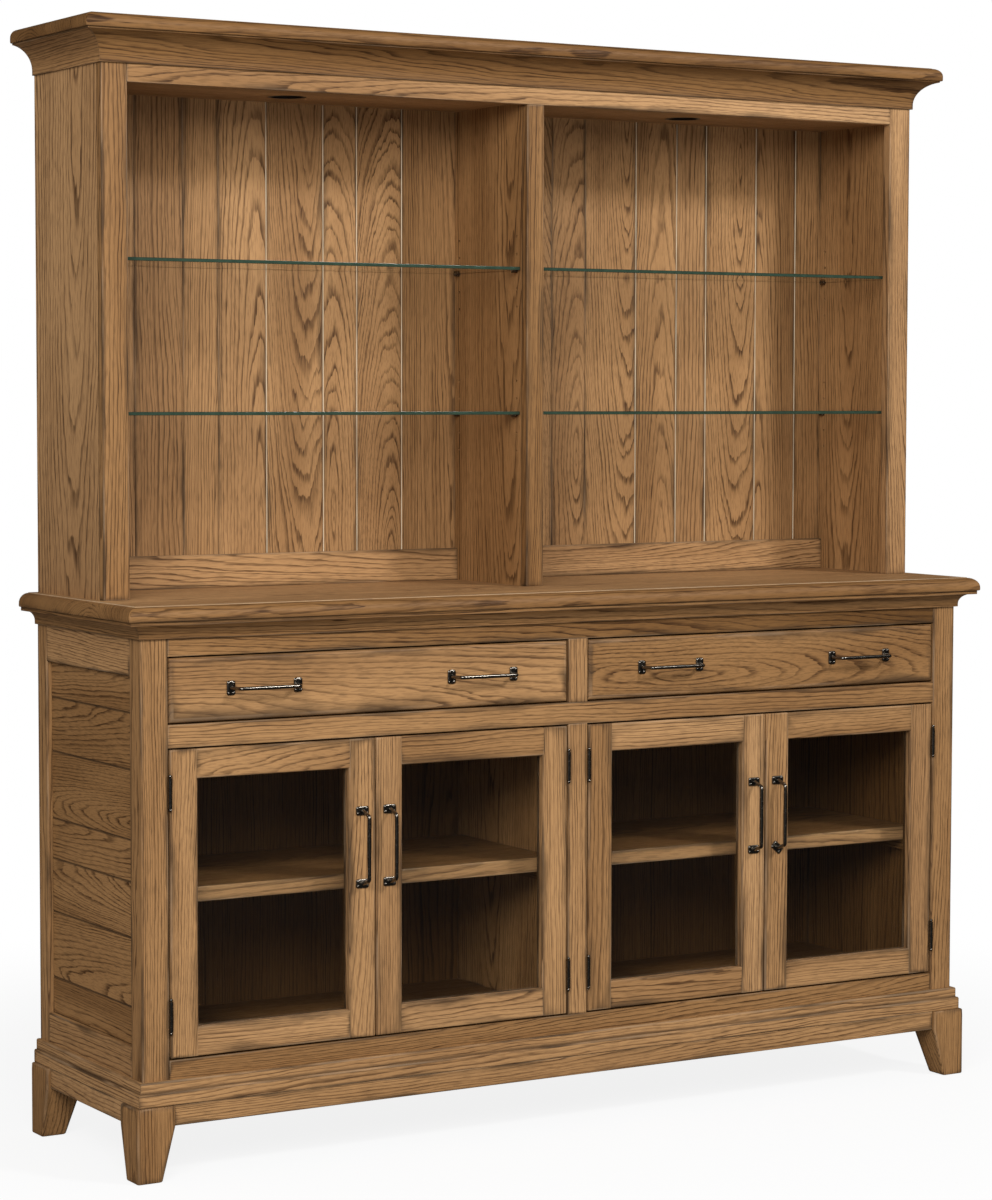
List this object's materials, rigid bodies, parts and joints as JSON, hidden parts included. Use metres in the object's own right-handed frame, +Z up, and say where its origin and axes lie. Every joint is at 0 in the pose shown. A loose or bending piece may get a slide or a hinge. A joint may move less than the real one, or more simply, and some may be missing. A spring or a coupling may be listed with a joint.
{
  "type": "dresser with hutch",
  "caption": "Stained oak dresser: a base with inset drawers over glazed doors on tapered feet, and an open plank-backed hutch with glass shelves and a coved cornice.",
  "frame": {"origin": "on the floor, under the middle of the bounding box", "axes": "+Z up, +X to the right as seen from the front, -Y towards the person who opens it"},
  "size_m": [1.808, 0.472, 1.954],
  "materials": {
    "stained_oak": "oak stained medium brown, dark glaze in the corners, satin lacquer with worn edges",
    "inside_wood": "plain sealed hardwood",
    "back_plywood": "plain stained plywood",
    "door_glass": "clear float glass",
    "shelf_glass": "clear float glass with a green polished edge",
    "dark_bronze": "dark oiled bronze, satin, brighter on the raised edges",
    "slide_steel": "zinc plated steel",
    "lamp_metal": "dark satin paint",
    "lamp_lens": "frosted, unlit"
  },
  "bodies": {
    "carcase": {"base_posts": "stained_oak", "base_top_rail": "stained_oak", "base_middle_rail": "stained_oak", "base_bottom_rail": "stained_oak", "base_centre_stiles": "stained_oak", "base_side_rails": "stained_oak", "base_side_planks": "stained_oak", "base_partition": "stained_oak", "base_linings": "stained_oak", "base_shelves": "stained_oak", "base_top": "stained_oak", "base_cove_moulding": "stained_oak", "plinth_moulding": "stained_oak", "plinth_aprons": "stained_oak", "feet": "stained_oak", "hutch_left_side": "stained_oak", "hutch_right_side": "stained_oak", "hutch_stiles": "stained_oak", "hutch_top_rail": "stained_oak", "hutch_divider": "stained_oak", "hutch_ceiling": "stained_oak", "hutch_back_planks": "stained_oak", "hutch_back_rails": "stained_oak", "cornice_cove": "stained_oak", "cornice_top": "stained_oak", "base_floor": "inside_wood", "base_cleats": "inside_wood", "base_back": "back_plywood", "glass_shelves": "shelf_glass", "hinge_frame_leaves": "dark_bronze", "hinge_pins": "dark_bronze", "shelf_pins": "dark_bronze", "slide_cabinet_channels": "slide_steel", "lamp_housings": "lamp_metal", "lamp_lenses": "lamp_lens"},
    "door_left_outer": {"door_left_outer_frame": "stained_oak", "door_left_outer_glass": "door_glass", "door_left_outer_hinge_leaves": "dark_bronze", "door_left_outer_pull": "dark_bronze"},
    "door_left_inner": {"door_left_inner_frame": "stained_oak", "door_left_inner_glass": "door_glass", "door_left_inner_hinge_leaves": "dark_bronze", "door_left_inner_pull": "dark_bronze"},
    "door_right_inner": {"door_right_inner_frame": "stained_oak", "door_right_inner_glass": "door_glass", "door_right_inner_hinge_leaves": "dark_bronze", "door_right_inner_pull": "dark_bronze"},
    "door_right_outer": {"door_right_outer_frame": "stained_oak", "door_right_outer_glass": "door_glass", "door_right_outer_hinge_leaves": "dark_bronze", "door_right_outer_pull": "dark_bronze"},
    "drawer_left": {"drawer_left_front": "stained_oak", "drawer_left_box": "inside_wood", "drawer_left_pulls": "dark_bronze", "drawer_left_inner_slides": "slide_steel"},
    "drawer_left_slide": {"drawer_left_middle_slides": "slide_steel"},
    "drawer_right": {"drawer_right_front": "stained_oak", "drawer_right_box": "inside_wood", "drawer_right_pulls": "dark_bronze", "drawer_right_inner_slides": "slide_steel"},
    "drawer_right_slide": {"drawer_right_middle_slides": "slide_steel"}
  },
  "joints": [
    {"name": "door_left_outer_swing", "type": "hinge", "parent": "carcase", "child": "door_left_outer", "pos_m": [-0.8085, -0.2038, 0.46425], "axis": [0, 0, -1], "range_deg": [0, 110]},
    {"name": "door_left_inner_swing", "type": "hinge", "parent": "carcase", "child": "door_left_inner", "pos_m": [-0.0215, -0.2038, 0.46425], "axis": [0, 0, 1], "range_deg": [0, 85]},
    {"name": "door_right_inner_swing", "type": "hinge", "parent": "carcase", "child": "door_right_inner", "pos_m": [0.0215, -0.2038, 0.46425], "axis": [0, 0, -1], "range_deg": [0, 85]},
    {"name": "door_right_outer_swing", "type": "hinge", "parent": "carcase", "child": "door_right_outer", "pos_m": [0.8085, -0.2038, 0.46425], "axis": [0, 0, 1], "range_deg": [0, 110]},
    {"name": "drawer_left_pull_out", "type": "slide", "parent": "carcase", "child": "drawer_left", "axis": [0, -1, 0], "range_m": [0, 0.34]},
    {"name": "drawer_left_slide_run", "type": "slide", "parent": "carcase", "child": "drawer_left_slide", "axis": [0, -1, 0], "range_m": [0, 0.17]},
    {"name": "drawer_right_pull_out", "type": "slide", "parent": "carcase", "child": "drawer_right", "axis": [0, -1, 0], "range_m": [0, 0.34]},
    {"name": "drawer_right_slide_run", "type": "slide", "parent": "carcase", "child": "drawer_right_slide", "axis": [0, -1, 0], "range_m": [0, 0.17]}
  ],
  "couplings": [
    {"joint": "drawer_left_slide_run", "follows": "drawer_left_pull_out", "ratio": 0.5},
    {"joint": "drawer_right_slide_run", "follows": "drawer_right_pull_out", "ratio": 0.5}
  ]
}
